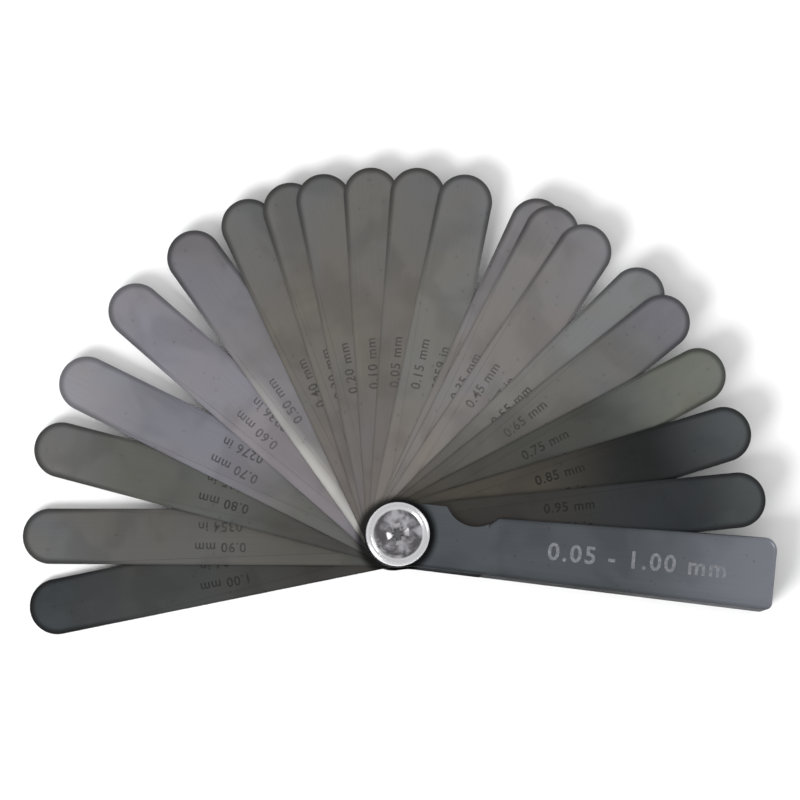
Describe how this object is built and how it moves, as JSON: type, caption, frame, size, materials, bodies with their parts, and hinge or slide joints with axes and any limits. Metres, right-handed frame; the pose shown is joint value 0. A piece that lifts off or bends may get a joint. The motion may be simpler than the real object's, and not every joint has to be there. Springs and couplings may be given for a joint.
{
  "type": "feeler gauge",
  "caption": "Folding feeler gauge: a fan of tapered steel blades turns on a bright screw in a folded sheet-steel case.",
  "frame": {"origin": "on the pivot axis, at the back face of the case", "axes": "+Z along the pivot axis, out of the front plate and through the screw head; +X along the case from the pivot to its far end; the blades open through +Y"},
  "size_m": [0.1666, 0.1116, 0.0162],
  "materials": {
    "case": "blue-grey satin spring steel sheet",
    "plain_steel": "turned steel",
    "spring_steel": "spring steel",
    "dark_washer": "black oxide",
    "bright_screw": "bright nickel-chrome plate",
    "blade_charcoal": "dark blued spring steel",
    "blade_blue_grey": "blue-grey ground spring steel",
    "blade_grey": "grey ground spring steel",
    "blade_warm_grey": "warm grey ground spring steel"
  },
  "bodies": {
    "case": {"case": "case", "pivot_post": "plain_steel", "base_washer": "plain_steel", "spring_washer": "spring_steel"},
    "head_washer": {"head_washer": "dark_washer"},
    "pivot_screw": {"pivot_screw": "bright_screw"},
    "blade_1_00mm": {"blade_1_00mm": "blade_charcoal"},
    "blade_0_90mm": {"blade_0_90mm": "blade_warm_grey"},
    "blade_0_80mm": {"blade_0_80mm": "blade_warm_grey"},
    "blade_0_70mm": {"blade_0_70mm": "blade_blue_grey"},
    "blade_0_60mm": {"blade_0_60mm": "blade_blue_grey"},
    "blade_0_50mm": {"blade_0_50mm": "blade_blue_grey"},
    "blade_0_40mm": {"blade_0_40mm": "blade_warm_grey"},
    "blade_0_30mm": {"blade_0_30mm": "blade_warm_grey"},
    "blade_0_20mm": {"blade_0_20mm": "blade_warm_grey"},
    "blade_0_10mm": {"blade_0_10mm": "blade_warm_grey"},
    "blade_0_05mm": {"blade_0_05mm": "blade_warm_grey"},
    "blade_0_15mm": {"blade_0_15mm": "blade_grey"},
    "blade_0_25mm": {"blade_0_25mm": "blade_grey"},
    "blade_0_35mm": {"blade_0_35mm": "blade_grey"},
    "blade_0_45mm": {"blade_0_45mm": "blade_grey"},
    "blade_0_55mm": {"blade_0_55mm": "blade_warm_grey"},
    "blade_0_65mm": {"blade_0_65mm": "blade_warm_grey"},
    "blade_0_75mm": {"blade_0_75mm": "blade_warm_grey"},
    "blade_0_85mm": {"blade_0_85mm": "blade_charcoal"},
    "blade_0_95mm": {"blade_0_95mm": "blade_charcoal"}
  },
  "joints": [
    {"name": "washer_lift", "type": "slide", "parent": "case", "child": "head_washer", "axis": [0, 0, 1], "range_m": [0, 0.00071]},
    {"name": "screw_turn", "type": "hinge", "parent": "head_washer", "child": "pivot_screw", "pos_m": [0, 0, 0.01405], "axis": [0, 0, 1], "range_deg": [0, 360]},
    {"name": "blade_1_00mm_swing", "type": "hinge", "parent": "case", "child": "blade_1_00mm", "pos_m": [0, 0, 0.00174], "axis": [0, 0, 1], "range_deg": [-196.05, 125.56]},
    {"name": "blade_0_90mm_swing", "type": "hinge", "parent": "case", "child": "blade_0_90mm", "pos_m": [0, 0, 0.00271], "axis": [0, 0, 1], "range_deg": [-184.3, 137.31]},
    {"name": "blade_0_80mm_swing", "type": "hinge", "parent": "case", "child": "blade_0_80mm", "pos_m": [0, 0, 0.00358], "axis": [0, 0, 1], "range_deg": [-169.8, 151.81]},
    {"name": "blade_0_70mm_swing", "type": "hinge", "parent": "case", "child": "blade_0_70mm", "pos_m": [0, 0, 0.00435], "axis": [0, 0, 1], "range_deg": [-158.05, 163.56]},
    {"name": "blade_0_60mm_swing", "type": "hinge", "parent": "case", "child": "blade_0_60mm", "pos_m": [0, 0, 0.00502], "axis": [0, 0, 1], "range_deg": [-143.3, 178.31]},
    {"name": "blade_0_50mm_swing", "type": "hinge", "parent": "case", "child": "blade_0_50mm", "pos_m": [0, 0, 0.00559], "axis": [0, 0, 1], "range_deg": [-130.05, 191.56]},
    {"name": "blade_0_40mm_swing", "type": "hinge", "parent": "case", "child": "blade_0_40mm", "pos_m": [0, 0, 0.00606], "axis": [0, 0, 1], "range_deg": [-119.55, 202.06]},
    {"name": "blade_0_30mm_swing", "type": "hinge", "parent": "case", "child": "blade_0_30mm", "pos_m": [0, 0, 0.00643], "axis": [0, 0, 1], "range_deg": [-112.05, 209.56]},
    {"name": "blade_0_20mm_swing", "type": "hinge", "parent": "case", "child": "blade_0_20mm", "pos_m": [0, 0, 0.0067], "axis": [0, 0, 1], "range_deg": [-106.3, 215.31]},
    {"name": "blade_0_10mm_swing", "type": "hinge", "parent": "case", "child": "blade_0_10mm", "pos_m": [0, 0, 0.00687], "axis": [0, 0, 1], "range_deg": [-98.3, 223.31]},
    {"name": "blade_0_05mm_swing", "type": "hinge", "parent": "case", "child": "blade_0_05mm", "pos_m": [0, 0, 0.00696], "axis": [0, 0, 1], "range_deg": [-90.55, 231.06]},
    {"name": "blade_0_15mm_swing", "type": "hinge", "parent": "case", "child": "blade_0_15mm", "pos_m": [0, 0, 0.00709], "axis": [0, 0, 1], "range_deg": [-82.55, 239.06]},
    {"name": "blade_0_25mm_swing", "type": "hinge", "parent": "case", "child": "blade_0_25mm", "pos_m": [0, 0, 0.0073], "axis": [0, 0, 1], "range_deg": [-69.8, 251.81]},
    {"name": "blade_0_35mm_swing", "type": "hinge", "parent": "case", "child": "blade_0_35mm", "pos_m": [0, 0, 0.00762], "axis": [0, 0, 1], "range_deg": [-67.05, 254.56]},
    {"name": "blade_0_45mm_swing", "type": "hinge", "parent": "case", "child": "blade_0_45mm", "pos_m": [0, 0, 0.00805], "axis": [0, 0, 1], "range_deg": [-60.8, 260.81]},
    {"name": "blade_0_55mm_swing", "type": "hinge", "parent": "case", "child": "blade_0_55mm", "pos_m": [0, 0, 0.00856], "axis": [0, 0, 1], "range_deg": [-49.3, 272.31]},
    {"name": "blade_0_65mm_swing", "type": "hinge", "parent": "case", "child": "blade_0_65mm", "pos_m": [0, 0, 0.00919], "axis": [0, 0, 1], "range_deg": [-43.05, 278.56]},
    {"name": "blade_0_75mm_swing", "type": "hinge", "parent": "case", "child": "blade_0_75mm", "pos_m": [0, 0, 0.00991], "axis": [0, 0, 1], "range_deg": [-32.3, 289.31]},
    {"name": "blade_0_85mm_swing", "type": "hinge", "parent": "case", "child": "blade_0_85mm", "pos_m": [0, 0, 0.01073], "axis": [0, 0, 1], "range_deg": [-21.55, 300.06]},
    {"name": "blade_0_95mm_swing", "type": "hinge", "parent": "case", "child": "blade_0_95mm", "pos_m": [0, 0, 0.01165], "axis": [0, 0, 1], "range_deg": [-10.3, 311.31]}
  ],
  "couplings": [
    {"joint": "washer_lift", "follows": "screw_turn", "m_per_rad": 0.00011141}
  ]
}
